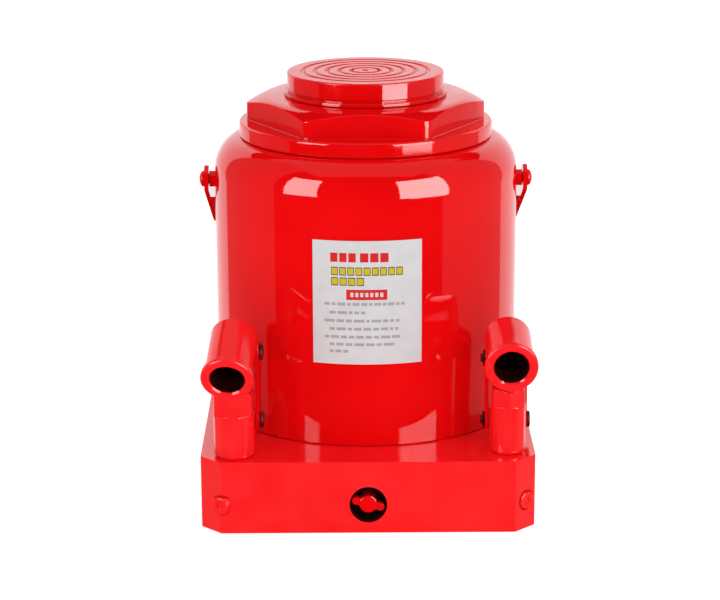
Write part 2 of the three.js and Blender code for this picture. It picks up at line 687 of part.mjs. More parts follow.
// In the socket's own frame: the plunger pin is the origin and the tube runs along Y.
function makeSocket(pump) {
  const { eyeRadius, pinRadius } = pump;
  const tubeOffset = tubeRadius + pump.tubeOverPin;
  const ringEnd = -tubeFront + mouthRingLength;
  const profile = [
    [0, -tubeFront], [mouthRingRadius - mouthRingRound, -tubeFront],
    [mouthRingRadius, -tubeFront + mouthRingRound],
    [mouthRingRadius, ringEnd - mouthRingRound], [tubeRadius, ringEnd],
    ...domePoints(tubeRadius, tubeRear, tubeDome, 4),
  ];
  const tube = solid(turned(profile, midFacets).rotateX(-Math.PI / 2).translate(0, 0, tubeOffset));
  const cheekRadius = eyeRadius + cheekMargin;
  const cheekTop = tubeOffset - tubeBore + cheekRoot;
  const lean = Math.atan2(upperPinBelow, upperPinAlong);
  const cheekShape = new THREE.Shape();
  cheekShape.moveTo(-cheekRadius, cheekTop);
  cheekShape.absarc(0, 0, cheekRadius, Math.PI, 1.5 * Math.PI - lean, false);
  cheekShape.absarc(upperPinAlong, -upperPinBelow, linkRadius, 1.5 * Math.PI - lean, 2.35 * Math.PI, false);
  cheekShape.lineTo(tubeRear, cheekTop);
  let body = tube;
  for (const start of [-cheekOuter, cheekInner]) {
    body = body.add(solid(crossPlate(cheekShape, start, start + cheekThickness)));
  }
  const cuts = [
    deepRod(tubeBore, -tubeFront - 1, -tubeFront + boreDepth, midFacets).translate(0, 0, tubeOffset),
    crossRod(eyeRadius + eyeRoom, -cheekInner, cheekInner),
    throughHole(pinRadius + gap),
    throughHole(pinRadius + gap).translate(0, upperPinAlong, -upperPinBelow),
  ];
  for (const cut of cuts) body = body.subtract(solid(cut));
  return body;
}

// A headed pin along X through plates that reach halfGrip each way, and its clip.
function makePin(pinRadius, halfGrip) {
  const headStart = halfGrip + gap;
  const groove = -halfGrip - gap;
  const grooveEnd = groove - clipThickness - gap;
  const end = grooveEnd - gap - pinTail;
  const grooveRadius = pinRadius - pinGrooveDepth;
  const headEnd = headStart + pinHeadThickness;
  const pin = turned([
    [0, end], [pinRadius, end], [pinRadius, grooveEnd], [grooveRadius, grooveEnd],
    [grooveRadius, groove + gap], [pinRadius, groove + gap], [pinRadius, headStart],
    [pinHeadRadius, headStart],
    [pinHeadRadius, headEnd - pinHeadEdge], [pinHeadRadius - pinHeadEdge, headEnd], [0, headEnd],
  ], pinFacets);
  const clip = ring(grooveRadius + gap, pinHeadRadius, groove - clipThickness, groove, pinFacets);
  return { pin: solid(pin.rotateY(Math.PI / 2)), clip: solid(clip.rotateY(Math.PI / 2)) };
}

// Where the link plates' upper hole is from their lower pivot, as [y, z] in the pump's frame.
function linkReach(pump) {
  const tilt = rad(pump.tilt);
  const pinY = upperPinAlong * Math.cos(tilt) + upperPinBelow * Math.sin(tilt);
  const pinZ = upperPinAlong * Math.sin(tilt) - upperPinBelow * Math.cos(tilt);
  return [pinY + pump.linkAhead - lowerPinBehind, pump.plungerPinHeight + pinZ - pump.lowerPinHeight];
}

function makeLink(pump, start) {
  const length = Math.hypot(...linkReach(pump));
  const plate = solid(crossPlate(capsule(0, 0, 0, length, linkRadius), start, start + linkThickness));
  const lower = throughHole(pump.pinRadius + gap);
  const upper = throughHole(pump.pinRadius + linkSlack).translate(0, 0, length);
  return plate.subtract(solid(lower)).subtract(solid(upper));
}

// The corner plug, in the frame of the pump's drilling, with the base's corner at y = 0.
function makePlug() {
  const face = spotfaceDepth - gap;
  const top = plugProud - spotfaceDepth;
  const head = turned([
    [0, top - plugSocketDepth], [plugSocketRadius, top - plugSocketDepth], [plugSocketRadius, top],
    [plugRadius - 1, top], [plugRadius, top - 1], [plugRadius, -face], [drillingRadius - gap, -face],
    [drillingRadius - gap, -spotfaceDepth - plugThread], [0, -spotfaceDepth - plugThread],
  ], pinFacets);
  return solid(head.rotateX(Math.PI / 2));
}

const ball = () => solid(new THREE.SphereGeometry(ballRadius, 12, 8));

function addPump(parent, pump) {
  const { side } = pump;
  const group = addGroup(parent, pump.x, pump.y, baseHeight);
  group.rotation.z = rad(pump.turn);
  const { body, seal, washer } = makePumpBody(pump);
  addPart(group, `pump_body_${side}`, body, redEnamel);
  addPart(group, `plunger_seal_${side}`, seal, blackRubber);
  addPart(group, `pump_washer_${side}`, washer, sealRed);
  addPart(group, `plunger_${side}`, makePlunger(pump), groundSteel);

  const socket = addGroup(group, 0, 0, pump.plungerPinHeight);
  socket.rotation.x = rad(pump.tilt);
  addPart(socket, `handle_socket_${side}`, makeSocket(pump), redEnamel);
  const plungerPin = makePin(pump.pinRadius, cheekOuter);
  addPart(socket, `plunger_pin_${side}`, plungerPin.pin, darkSteel);
  addPart(socket, `plunger_clip_${side}`, plungerPin.clip, darkSteel);
  const upper = addGroup(socket, 0, upperPinAlong, -upperPinBelow);
  const linkPin = makePin(pump.pinRadius, linkOuterFace);
  addPart(upper, `link_pin_${side}`, linkPin.pin, darkSteel);
  addPart(upper, `link_clip_${side}`, linkPin.clip, darkSteel);

  const lower = addGroup(group, 0, lowerPinBehind, pump.lowerPinHeight);
  const basePin = makePin(pump.pinRadius, linkOuterFace);
  addPart(lower, `base_pin_${side}`, basePin.pin, darkSteel);
  addPart(lower, `base_clip_${side}`, basePin.clip, darkSteel);
  const link = addGroup(lower, 0, 0, 0);
  const [linkY, linkZ] = linkReach(pump);
  link.rotation.x = -Math.atan2(linkY, linkZ);
  addPart(link, `link_inner_${side}`, makeLink(pump, -linkOuterFace), redEnamel);
  addPart(link, `link_outer_${side}`, makeLink(pump, linkInnerFace), redEnamel);

  const drilling = addGroup(parent, pump.x, pump.y, valveHeight);
  drilling.rotation.z = rad(-pump.plugAngle);
  addPart(drilling, `inlet_ball_${side}`, ball(), groundSteel);
  addPart(drilling, `outlet_ball_${side}`, ball(), groundSteel).position.y = outletBallBehind;
  addPart(drilling, `corner_plug_${side}`, makePlug(), redEnamel).position.y = -cornerDistance(pump);
}

// ---- Assembly ----------------------------------------------------------------------------

const jack = new THREE.Group();

addPart(jack, "base", makeBase(), redEnamel);
const seatGasket = [seatFloor + gap, seatFloor + gap + gasketThickness];
const seatRing = ring(boreRadius + 2, cylinderRadius - 1, ...seatGasket, bigFacets);
addPart(jack, "cylinder_gasket", solid(seatRing), sealRed);
addPart(jack, "cylinder", makeCylinder(), groundSteel);
const tankGasket = [baseHeight - gasketThickness, baseHeight];
const tankGasketInner = tankRadius - tankGasketWidth - gap;
const tankRing = ring(tankGasketInner, tankRadius - gap, ...tankGasket, bigFacets);
addPart(jack, "tank_gasket", solid(tankRing), blackRubber);
addPart(jack, "tank", makeTank(), redEnamel);
const capGasket = [collarBottom, collarBottom + gasketThickness - gap];
const capRing = ring(neckRadius + gap, neckRadius + capGasketWidth - gap, ...capGasket, bigFacets);
addPart(jack, "cap_gasket", solid(capRing), blackRubber);
addPart(jack, "cap_nut", makeCapNut(), redEnamel);
const wiper = [nutTop - wiperSpan[1] + gap, nutTop - wiperSpan[0] - gap];
const wiperRing = ring(ramRadius + gap, ramRadius + wiperWidth - gap, ...wiper, bigFacets);
addPart(jack, "wiper_seal", solid(wiperRing), blackRubber);

const { ram, seal: pistonSeal, guide } = makeRam();
addPart(jack, "ram", ram, groundSteel);
addPart(jack, "piston_seal", pistonSeal, blackRubber);
addPart(jack, "piston_guide_ring", guide, sealRed);
addPart(jack, "saddle", makeSaddle(), redEnamel);

addPart(jack, "filler_plug", makeFillerPlug(), blackRubber);
addPart(jack, "label", makeLabel(), labelPaper);

const bail = addGroup(jack, 0, 0, bailPivotHeight);
for (const [side, angle] of [["right", 0], ["left", Math.PI]]) {
  addPart(bail, `bail_boss_${side}`, makeBoss(), redEnamel).rotation.z = angle;
  addPart(bail, `bail_bolt_${side}`, makeBailBolt(), darkSteel).rotation.z = angle;
}
addPart(bail, "carrying_bail", makeBail(), redEnamel).rotation.x = -bailRestAngle();

const release = addGroup(jack, 0, -baseFront, valveHeight);
const { valve, seal: valveSeal, stemEnd } = makeReleaseValve();
const spindle = addGroup(release, 0, 0, 0);
spindle.rotation.y = rad(-valveBarAngle);
addPart(spindle, "release_valve", valve, redEnamel);
addPart(spindle, "release_seal", valveSeal, blackRubber);
addPart(release, "release_ball", ball(), groundSteel).position.y = stemEnd + ballRadius + gap;

for (const pump of pumps) addPump(jack, pump);

export default jack;
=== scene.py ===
# A double-pump bottle jack in glossy red enamel, on a pale studio floor.
import json
import math
import random

import bmesh
import bpy
from mathutils import Matrix, Vector


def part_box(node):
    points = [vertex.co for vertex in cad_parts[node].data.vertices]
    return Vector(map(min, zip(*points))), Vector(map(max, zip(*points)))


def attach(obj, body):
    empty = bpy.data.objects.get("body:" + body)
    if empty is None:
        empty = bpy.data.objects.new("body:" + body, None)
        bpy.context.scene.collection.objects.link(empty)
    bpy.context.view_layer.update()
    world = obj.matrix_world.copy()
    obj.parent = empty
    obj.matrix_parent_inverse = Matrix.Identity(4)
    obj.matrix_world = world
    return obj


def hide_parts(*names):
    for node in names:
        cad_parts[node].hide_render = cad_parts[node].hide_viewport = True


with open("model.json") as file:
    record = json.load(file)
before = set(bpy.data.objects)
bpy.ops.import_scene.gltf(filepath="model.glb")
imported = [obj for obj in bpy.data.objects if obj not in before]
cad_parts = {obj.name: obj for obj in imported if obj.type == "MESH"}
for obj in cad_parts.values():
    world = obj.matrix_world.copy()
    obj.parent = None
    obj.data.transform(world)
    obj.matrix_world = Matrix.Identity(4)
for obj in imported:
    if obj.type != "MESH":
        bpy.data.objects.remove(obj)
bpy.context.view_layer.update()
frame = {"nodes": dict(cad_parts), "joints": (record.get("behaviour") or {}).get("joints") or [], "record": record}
random.seed(7)
mm = 0.001
fit = 0.3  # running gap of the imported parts, in mm
print("frame loaded:", len(frame["nodes"]), "nodes")


# Camera

cameraSettings = {
    "aside": -15.4,  # mm from the ram's axis
    "distance": 1860.3,
    "height": 664.5,
    "pitch": 15.65,  # degrees down
    "yaw": 0.32,
    "roll": -0.21,
    "sensor": 36.0,
    "lens": 117.1,
    "near": 0.05,  # metres
    "far": 60,
}


def addCamera(c):
    pitch, yaw, roll = (math.radians(c[k]) for k in ("pitch", "yaw", "roll"))
    level = math.cos(pitch)
    ahead = Vector((math.sin(yaw) * level, math.cos(yaw) * level, -math.sin(pitch)))
    right = Vector((math.cos(yaw), -math.sin(yaw), 0))
    down = ahead.cross(right)
    tiltedRight = math.cos(roll) * right - math.sin(roll) * down
    tiltedDown = math.sin(roll) * right + math.cos(roll) * down
    turn = Matrix((tiltedRight, -tiltedDown, -ahead)).transposed().to_4x4()
    data = bpy.data.cameras.new("camera")
    data.sensor_width = c["sensor"]
    data.lens = c["lens"]
    data.clip_start = c["near"]
    data.clip_end = c["far"]
    camera = bpy.data.objects.new("camera", data)
    bpy.context.scene.collection.objects.link(camera)
    place = Vector((c["aside"], -c["distance"], c["height"])) * mm
    camera.matrix_world = Matrix.Translation(place) @ turn
    bpy.context.scene.camera = camera


addCamera(cameraSettings)


# Materials

def newMaterial(name):
    material = bpy.data.materials.new(name)
    material.use_nodes = True
    tree = material.node_tree
    shader = tree.nodes["Principled BSDF"]
    return material, tree, shader


def node(tree, kind, **values):
    made = tree.nodes.new(kind)
    for key, value in values.items():
        if key in made.inputs:
            made.inputs[key].default_value = value
        else:
            setattr(made, key, value)
    return made


def noise(tree, scale, detail=3.0, stretch=(1, 1, 1)):
    place = node(tree, "ShaderNodeTexCoord")
    mapping = node(tree, "ShaderNodeMapping", Scale=stretch)
    pattern = node(tree, "ShaderNodeTexNoise", Scale=scale, Detail=detail)
    tree.links.new(place.outputs["Object"], mapping.inputs["Vector"])
    tree.links.new(mapping.outputs["Vector"], pattern.inputs["Vector"])
    return pattern.outputs["Fac"]


def ramp(tree, value, stops):
    made = node(tree, "ShaderNodeValToRGB")
    band = made.color_ramp
    while len(band.elements) < len(stops):
        band.elements.new(0.5)
    for element, (position, color) in zip(band.elements, stops):
        element.position = position
        element.color = color if len(color) == 4 else (*color, 1)
    tree.links.new(value, made.inputs["Fac"])
    return made.outputs["Color"]


def spread(tree, value, low, high):
    made = node(tree, "ShaderNodeMapRange")
    made.inputs["From Min"].default_value = 0.3
    made.inputs["From Max"].default_value = 0.7
    made.inputs["To Min"].default_value = low
    made.inputs["To Max"].default_value = high
    tree.links.new(value, made.inputs["Value"])
    return made.outputs["Result"]


def bumps(tree, shader, layers):
    below = None
    for value, strength, distance in layers:
        made = node(tree, "ShaderNodeBump", Strength=strength, Distance=distance)
        tree.links.new(value, made.inputs["Height"])
        if below:
            tree.links.new(below, made.inputs["Normal"])
        below = made.outputs["Normal"]
    tree.links.new(below, shader.inputs["Normal"])


enamelSettings = {
    "gloss": {"deep": (0.7, 0.0016, 0.0024), "bright": (0.8, 0.0026, 0.0036)},
    "cast": {"deep": (0.82, 0.008, 0.01), "bright": (0.92, 0.011, 0.014)},
    "index": 1.52,
}


def enamel(name, tones, roughness, waviness, casting):
    material, tree, shader = newMaterial(name)
    shader.inputs["IOR"].default_value = enamelSettings["index"]
    tone = enamelSettings[tones]
    color = ramp(tree, noise(tree, 9, 2), [(0.3, tone["deep"]), (0.7, tone["bright"])])
    tree.links.new(color, shader.inputs["Base Color"])
    tree.links.new(spread(tree, noise(tree, 40, 4), *roughness), shader.inputs["Roughness"])
    bumps(tree, shader, [
        (noise(tree, 14, 1), waviness, 0.002),
        (noise(tree, 90, 2), casting, 0.0006),
        (noise(tree, 520, 2), casting, 0.0002),
    ])
    return material


def steel(name, low, high, roughness, stretch, scratch):
    material, tree, shader = newMaterial(name)
    shader.inputs["Metallic"].default_value = 1.0
    grain = noise(tree, 900, 4, stretch)
    tree.links.new(ramp(tree, grain, [(0.3, low), (0.75, high)]), shader.inputs["Base Color"])
    tree.links.new(spread(tree, noise(tree, 60, 3), *roughness), shader.inputs["Roughness"])
    bumps(tree, shader, [(grain, scratch, 0.00005)])
    return material


def rubber(name, color, gloss=0.15):
    material, tree, shader = newMaterial(name)
    shader.inputs["Specular IOR Level"].default_value = gloss
    tone = ramp(tree, noise(tree, 80, 4), [(0.3, [c * 0.7 for c in color]), (0.7, color)])
    tree.links.new(tone, shader.inputs["Base Color"])
    tree.links.new(spread(tree, noise(tree, 200, 3), 0.55, 0.8), shader.inputs["Roughness"])
    bumps(tree, shader, [(noise(tree, 1500, 3), 0.3, 0.0001)])
    return material


def ink(name, color, roughness=0.35):
    material, tree, shader = newMaterial(name)
    shader.inputs["Specular IOR Level"].default_value = 0.06
    tone = ramp(tree, noise(tree, 90, 3), [(0.35, [c * 0.94 for c in color]), (0.65, color)])
    tree.links.new(tone, shader.inputs["Base Color"])
    sheen = spread(tree, noise(tree, 300, 2), roughness * 0.8, roughness * 1.2)
    tree.links.new(sheen, shader.inputs["Roughness"])
    bumps(tree, shader, [(noise(tree, 60, 2), 0.08, 0.0005)])
    return material


def oversprayedSteel(name):
    material, tree, shader = newMaterial(name)
    bare, sprayed = (0.02, 0.012, 0.012), (0.16, 0.003, 0.003)
    paint = ramp(tree, noise(tree, 70, 4), [(0.4, bare), (0.58, sprayed)])
    tree.links.new(paint, shader.inputs["Base Color"])
    metal = spread(tree, noise(tree, 70, 4), 0.9, 0.0)
    tree.links.new(metal, shader.inputs["Metallic"])
    tree.links.new(spread(tree, noise(tree, 150, 3), 0.25, 0.5), shader.inputs["Roughness"])
    bumps(tree, shader, [(noise(tree, 700, 3), 0.25, 0.0001)])
    return material


redEnamel = enamel("redEnamel", "gloss", (0.035, 0.07), 0.06, 0.035)
castEnamel = enamel("castEnamel", "cast", (0.09, 0.19), 0.1, 0.2)
wornEnamel = enamel("wornEnamel", "gloss", (0.13, 0.24), 0.12, 0.08)
groundSteel = steel("groundSteel", (0.4, 0.41, 0.43), (0.5, 0.51, 0.53), (0.24, 0.36),
                    (0.06, 0.06, 1), 0.2)
darkSteel = steel("darkSteel", (0.05, 0.03, 0.03), (0.14, 0.09, 0.085), (0.3, 0.5), (1, 1, 1), 0.3)
pinSteel = oversprayedSteel("pinSteel")
blackRubber = rubber("blackRubber", (0.03, 0.03, 0.032))
# Painted shade: a near-black, dark red material that stands in for the shade inside the socket bores and the valve
# recess
paintedBoreShade = rubber("paintedBoreShade", (0.028, 0.002, 0.002), 0.03)
copperSeal = steel("copperSeal", (0.45, 0.2, 0.1), (0.72, 0.38, 0.22), (0.3, 0.5), (1, 1, 1), 0.2)
labelPaper = ink("labelPaper", (0.6, 0.595, 0.605), 0.3)
redInk = ink("redInk", (0.62, 0.02, 0.02))
oliveInk = ink("oliveInk", (0.55, 0.45, 0.02))
darkInk = ink("darkInk", (0.09, 0.05, 0.04))
greyInk = ink("greyInk", (0.36, 0.34, 0.35))

slotMaterials = {
    "red_enamel": redEnamel, "cast_base_enamel": castEnamel, "ground_steel": groundSteel,
    "dark_steel": pinSteel, "black_rubber": blackRubber, "copper_seal": copperSeal,
    "label_paper": labelPaper,
}
for entry in frame["record"]["subparts"]:
    part = frame["nodes"][entry["node"]]
    part.data.materials.clear()
    part.data.materials.append(slotMaterials[entry["material_slot"]])
print("materials made")


# Mesh helpers

def mmBox(name):
    low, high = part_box(name)
    return low / mm, high / mm


# Points of an arc, by degrees
def arc(x, y, radius, start, end, steps=6):
    turns = [math.radians(start + (end - start) * i / steps) for i in range(steps + 1)]
    return [(x + radius * math.cos(t), y + radius * math.sin(t)) for t in turns]


def cleaned(bm):
    bmesh.ops.remove_doubles(bm, verts=bm.verts, dist=0.0005)
    bmesh.ops.recalc_face_normals(bm, faces=bm.faces)
    return bm


# A closed profile of (radius, height) spun about Z
def turned(profile, steps=96, matrix=None):
    bm = bmesh.new()
    verts = [bm.verts.new((r, 0, z)) for r, z in profile]
    pairs = list(zip(verts, verts[1:]))
    if profile[0][0] > 0 and profile[-1][0] > 0:
        pairs.append((verts[-1], verts[0]))
    edges = [bm.edges.new(pair) for pair in pairs]
    bmesh.ops.spin(bm, geom=verts + edges, cent=(0, 0, 0), axis=(0, 0, 1), dvec=(0, 0, 0),
                   angle=2 * math.pi, steps=steps, use_merge=True, use_duplicate=False)
    cleaned(bm)
    if matrix:
        bmesh.ops.transform(bm, matrix=matrix, verts=bm.verts)
    return bm


# A flat outline in X and Y, extruded up Z
def prism(outline, bottom, top, matrix=None):
    bm = bmesh.new()
    face = bm.faces.new([bm.verts.new((x, y, bottom)) for x, y in outline])
    grown = bmesh.ops.extrude_face_region(bm, geom=[face])
    lifted = [item for item in grown["geom"] if isinstance(item, bmesh.types.BMVert)]
    bmesh.ops.translate(bm, vec=(0, 0, top - bottom), verts=lifted)
    bmesh.ops.recalc_face_normals(bm, faces=bm.faces)
    if matrix:
        bmesh.ops.transform(bm, matrix=matrix, verts=bm.verts)
    return bm


def temporary(bm):
    mesh = bpy.data.meshes.new("temporary")
    bm.to_mesh(mesh)
    bm.free()
    made = bpy.data.objects.new("temporary", mesh)
    bpy.context.scene.collection.objects.link(made)
    return made


# Cuts, joins or meets two closed bmeshes, and gives the result back
def carve(bm, tool, how="DIFFERENCE"):
    body, cutter = temporary(bm), temporary(tool)
    modifier = body.modifiers.new("carve", "BOOLEAN")
    modifier.operation = how
    modifier.object = cutter
    modifier.solver = "EXACT"
    view = bpy.context.evaluated_depsgraph_get()
    result = bmesh.new()
    result.from_mesh(body.evaluated_get(view).to_mesh())
    for used in (body, cutter):
        mesh = used.data
        bpy.data.objects.remove(used)
        bpy.data.meshes.remove(mesh)
    bmesh.ops.remove_doubles(result, verts=result.verts, dist=0.001)
    bmesh.ops.dissolve_degenerate(result, dist=0.0005, edges=result.edges)
    return result


def joined(*parts):
    body = parts[0]
    for part in parts[1:]:
        body = carve(body, part, "UNION")
    return body


# Paints shade: gives the second, near-black material to the faces inside a hole that runs along Y
def paintHoleShade(bm, radius, start, end, centre=Vector()):
    for face in bm.faces:
        spot = face.calc_center_median() - centre
        if start < spot.y < end and math.hypot(spot.x, spot.z) < radius:
            face.material_index = 1


# Turns a bmesh in mm into a finished piece that stands for CAD nodes
def addPiece(bm, name, body, material, nodes, matrix=None, edge=0.0, segments=3, angle=34,
             second=None):
    place = Matrix.Scale(mm, 4) @ (matrix or Matrix.Identity(4))
    bmesh.ops.transform(bm, matrix=place, verts=bm.verts)
    for face in bm.faces:
        face.smooth = True
    mesh = bpy.data.meshes.new(name)
    bm.to_mesh(mesh)
    bm.free()
    for used in (material, second) if second else (material,):
        mesh.materials.append(used)
    piece = bpy.data.objects.new(name, mesh)
    bpy.context.scene.collection.objects.link(piece)
    if edge:
        bevel = piece.modifiers.new("edges", "BEVEL")
        bevel.width = edge * mm
        bevel.segments = segments
        bevel.limit_method = "ANGLE"
        bevel.angle_limit = math.radians(angle)
        bevel.use_clamp_overlap = True
    else:
        mesh.set_sharp_from_angle(angle=math.radians(angle))
    weighted = piece.modifiers.new("shading", "WEIGHTED_NORMAL")
    weighted.keep_sharp = True
    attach(piece, body)
    if nodes:
        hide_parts(*nodes)
    return piece


alongX = Matrix.Rotation(math.radians(90), 4, "Y")  # Z becomes +X
alongY = Matrix.Rotation(math.radians(-90), 4, "X")  # Z becomes +Y


# Takes an outline in X and Y to Y and Z, with its thickness along X from start
def crossways(start):
    turn = Matrix(((0, 0, 1, 0), (1, 0, 0, 0), (0, 1, 0, 0), (0, 0, 0, 1)))
    return Matrix.Translation((start, 0, 0)) @ turn


# The outline round two equal circles
def capsule(a, b, radius, steps=14):
    lean = math.degrees(math.atan2(b[1] - a[1], b[0] - a[0]))
    near = arc(*a, radius, lean + 90, lean + 270, steps)
    return near + arc(*b, radius, lean - 90, lean + 90, steps)


def rod(radius, bottom, top, matrix=None, steps=48):
    return turned([(0, bottom), (radius, bottom), (radius, top), (0, top)], steps, matrix)


# Saddle

saddleSettings = {
    "grooves": 5, "grooveStep": 9.75, "firstGroove": 11.5, "grooveWidth": 3.8, "grooveDepth": 1.4,
    "dimple": 3.0, "worn": 2.0, "lip": 2.5, "lipHeight": 3.2, "lipRound": 0.8, "rimRound": 1.3,
    "waist": 1.5, "spigot": 20.0,
}


def makeSaddle(s):
    low, high = mmBox("saddle")
    lipRadius, top = high.x, high.z
    bottom = mmBox("cap_nut")[1].z + fit
    radius = lipRadius - s["lip"]
    lipTop = bottom + s["lipHeight"]
    spigot, waist = s["spigot"], radius - s["waist"]
    small, rim = s["lipRound"], s["rimRound"]
    profile = [(0, low.z), (spigot - 1, low.z), (spigot, low.z + 1), (spigot, bottom)]
    profile += [(lipRadius - small, bottom),
                *arc(lipRadius - small, bottom + small, small, -60, 0, 3)]
    profile += arc(lipRadius - small, lipTop - small, small, 0, 80, 3)
    profile += [(waist, lipTop), (waist, lipTop + 1.2), (radius - 0.3, lipTop + 2.0)]
    profile += [(radius, lipTop + 2.4), *arc(radius - rim, top - rim, rim, 0, 90, 5)]
    for i in reversed(range(s["grooves"])):
        middle = s["firstGroove"] + i * s["grooveStep"]
        half, depth = s["grooveWidth"] / 2, s["grooveDepth"]
        profile += [(middle + half + 0.35, top), (middle + half, top - 0.12),
                    (middle + half * 0.55, top - depth), (middle - half * 0.55, top - depth),
                    (middle - half, top - 0.12), (middle - half - 0.35, top)]
    dimple = s["dimple"]
    profile += [(dimple + 0.4, top), (dimple, top - 0.15), (dimple * 0.5, top - 1.1),
                (0, top - 1.3)]
    body = turned(profile, 128)
    for face in body.faces:
        face.material_index = 1 if face.calc_center_median().z > top - s["worn"] else 0
    addPiece(body, "saddle_top", "ram", redEnamel, ["saddle"], second=wornEnamel)


makeSaddle(saddleSettings)


# Ram

ramSettings = {
    "pistonHeight": 36.0, "chamfer": 3.0, "groove": 6.0, "spigotRoom": 1.6,
    "underLip": 3.5,  # from the saddle's lip in to the rod
}


def makeRam(s):
    low, high = mmBox("ram")
    saddleLow, saddleHigh = mmBox("saddle")
    piston, pistonTop = high.x, low.z + s["pistonHeight"]
    rodRadius, hole = saddleHigh.x - s["underLip"], saddleSettings["spigot"] + fit
    floor = saddleLow.z - s["spigotRoom"]
    profile = [(0, low.z), (piston - s["chamfer"], low.z), (piston, low.z + s["chamfer"])]
    for ringName in ("piston_seal", "piston_guide_ring"):
        ringLow, ringHigh = mmBox(ringName)
        start, end, root = ringLow.z - fit, ringHigh.z + fit, piston - s["groove"]
        profile += [(piston, start), (root, start), (root, end), (piston, end)]
    profile += [(piston, pistonTop - 1), (piston - 1, pistonTop), (rodRadius, pistonTop),
                (rodRadius, high.z - 0.6), (rodRadius - 0.6, high.z), (hole + 0.5, high.z),
                (hole, high.z - 0.5), (hole, floor), (0, floor)]
    addPiece(turned(profile, 128), "ground_ram", "ram", groundSteel, ["ram"])


makeRam(ramSettings)


# Cap nut

nutSettings = {
    "flats": 168.5, "hexHeight": 20.0, "chamferRadius": 80.5, "chamferAngle": 23,
    "collarHeight": 12.0, "collarRound": 2.2, "edge": 0.9, "cornerRound": 5.0,
}


def makeCapNut(s):
    low, high = mmBox("cap_nut")
    top, collarRadius = high.z, high.x
    hexBottom = top - s["hexHeight"]
    collarBottom = hexBottom - s["collarHeight"]
    corner = s["flats"] / math.sqrt(3)
    outline = [(corner * math.cos(turn), corner * math.sin(turn))
               for turn in (math.radians(60 * i) for i in range(6))]
    beyond = corner + 4  # past the hexagon's corners
    drop = (beyond - s["chamferRadius"]) * math.tan(math.radians(s["chamferAngle"]))
    cone = turned([(0, collarBottom), (beyond, collarBottom), (beyond, top - drop),
                   (s["chamferRadius"], top), (0, top)], 128)
    column = prism(outline, hexBottom - 2, top + 1)
    upright = [e for e in column.edges if abs(e.verts[0].co.z - e.verts[1].co.z) > 1]
    bmesh.ops.bevel(column, geom=upright, offset=s["cornerRound"], offset_type="OFFSET",
                    segments=5, profile=0.5, affect="EDGES", material=-1)
    hexagon = carve(column, cone, "INTERSECT")
    r = s["collarRound"]
    cylinderRadius = mmBox("cylinder")[1].x + fit
    ramRadius = mmBox("saddle")[1].x - ramSettings["underLip"] + fit
    neck = mmBox("cap_gasket")[1].x - 5
    collar = turned([
        (0, hexBottom), (collarRadius - r, hexBottom),
        *reversed(arc(collarRadius - r, hexBottom - r, r, 0, 90, 6)),
        (collarRadius, collarBottom + 1), (collarRadius - 1, collarBottom),
        (neck, collarBottom), (neck, low.z),
        (cylinderRadius, low.z), (cylinderRadius, hexBottom - 4), (0, hexBottom - 4),
    ], 128)
    body = joined(hexagon, collar)
    ramHole = turned([(0, collarBottom - 2), (ramRadius, collarBottom - 2), (ramRadius, top - 0.8),
                      (ramRadius + 0.8, top), (ramRadius + 0.8, top + 1), (0, top + 1)], 128)
    body = carve(body, ramHole)
    addPiece(body, "hex_cap_nut", "jack_frame", redEnamel, ["cap_nut"], edge=s["edge"])


makeCapNut(nutSettings)


# Tank

tankSettings = {"shoulder": 23.5, "shoulderHeight": 28.0, "wall": 6.0, "neck": 94.0, "foot": 0.8}


def makeTank(s):
    low, high = mmBox("tank")
    radius, bottom, top = high.x, low.z, high.z
    bend, rise, wall = s["shoulder"], s["shoulderHeight"], s["wall"]
    outer = [(radius - wall, bottom), (radius - s["foot"], bottom), (radius, bottom + s["foot"])]
    outer += [(radius, bottom + (top - rise - bottom) * i / 8) for i in range(1, 8)]
    outer += [(radius - bend + x, top - rise + z * rise / bend)
              for x, z in arc(0, 0, bend, 0, 90, 28)]
    inner = [(radius - bend + x, top - rise + z * (rise - wall) / (bend - wall))
             for x, z in arc(0, 0, bend - wall, 90, 0, 12)]
    profile = outer + [(s["neck"], top), (s["neck"], top - wall)] + inner
    body = turned(profile, 160)
    addPiece(body, "tank_shell", "jack_frame", redEnamel, ["tank"])


makeTank(tankSettings)


# Label

# Blocks are (left, right, bottom, top, ink), in mm on the unrolled label
labelSettings = {
    "heading": {"rows": [(-28.7, -8.8), (-5.6, 16.4)], "bottom": 207.6, "top": 214.9,
                "letters": 3, "space": 1.3},
    "olive": [(-28.0, 27.6, 197.0, 203.6, 9), (-28.0, -2.6, 188.9, 195.4, 4)],
    "badge": (-16.3, 15.4, 177.6, 185.8),
    "text": [(-33.5, 29.0, 173.0), (-29.5, -1.5, 166.2), (-33.5, 25.0, 159.6),
             (-29.5, 26.0, 153.1), (-33.5, 27.5, 146.6), (-29.5, 24.0, 140.6),
             (-29.5, -15.0, 135.0)],
    "textHeight": 2.3,
    "thick": 0.3,
}


def labelBlocks(s):
    blocks = []

    def word(left, right, bottom, top, count, space, inkIndex):
        width = (right - left - space * (count - 1)) / count
        for i in range(count):
            x = left + i * (width + space)
            blocks.append((x, x + width, bottom, top, inkIndex))

    h = s["heading"]
    for left, right in h["rows"]:
        word(left, right, h["bottom"], h["top"], h["letters"], h["space"], 1)
    for left, right, bottom, top, count in s["olive"]:
        word(left, right, bottom, top, count, 1.0, 3)
        word(left + 0.55, right - 0.55, bottom + 0.75, top - 0.75, count, 2.1, 2)
    left, right, bottom, top = s["badge"]
    blocks.append((left, right, bottom, top, 1))
    word(left + 3.2, right - 3.2, bottom + 2.4, top - 2.4, 7, 1.5, 0)
    for left, right, bottom in s["text"]:
        x = left
        while x < right - 2:
            width = min(random.uniform(2.2, 8.5), right - x)
            blocks.append((x, x + width, bottom, bottom + s["textHeight"], 4))
            x += width + 1.4
    return blocks


